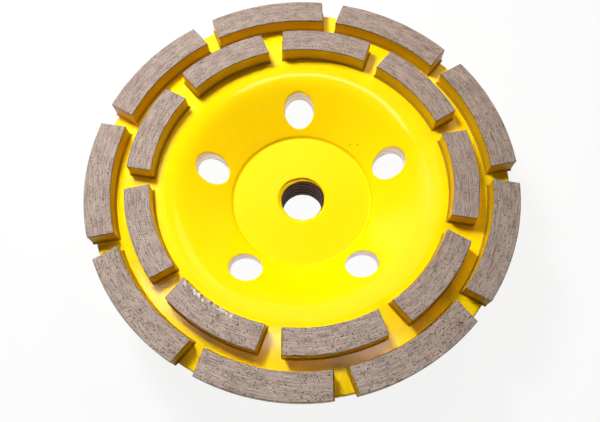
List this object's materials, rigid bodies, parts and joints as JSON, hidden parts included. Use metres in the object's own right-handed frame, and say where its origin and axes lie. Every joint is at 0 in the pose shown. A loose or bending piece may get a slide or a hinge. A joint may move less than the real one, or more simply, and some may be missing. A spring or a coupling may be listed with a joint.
{
  "type": "double row diamond cup wheel",
  "caption": "Dished steel grinding cup with a threaded hub, air holes and two staggered rings of abrasive segments brazed on its flat rim.",
  "frame": {"origin": "centre of the hub's back face, which seats on the grinder's flange", "axes": "+Z along the spindle axis, from the hub's back face towards the grinding face"},
  "size_m": [0.115, 0.115, 0.0286],
  "materials": {
    "yellow_paint": "smooth satin gloss yellow coat",
    "diamond_matrix": "dressed warm grey sintered metal with dark grit, scored along the ring"
  },
  "bodies": {
    "root": {"cup_body": "yellow_paint", "outer_segment_1": "diamond_matrix", "outer_segment_2": "diamond_matrix", "outer_segment_3": "diamond_matrix", "outer_segment_4": "diamond_matrix", "outer_segment_5": "diamond_matrix", "outer_segment_6": "diamond_matrix", "outer_segment_7": "diamond_matrix", "outer_segment_8": "diamond_matrix", "outer_segment_9": "diamond_matrix", "inner_segment_1": "diamond_matrix", "inner_segment_2": "diamond_matrix", "inner_segment_3": "diamond_matrix", "inner_segment_4": "diamond_matrix", "inner_segment_5": "diamond_matrix", "inner_segment_6": "diamond_matrix", "inner_segment_7": "diamond_matrix", "inner_segment_8": "diamond_matrix", "inner_segment_9": "diamond_matrix"}
  },
  "joints": []
}
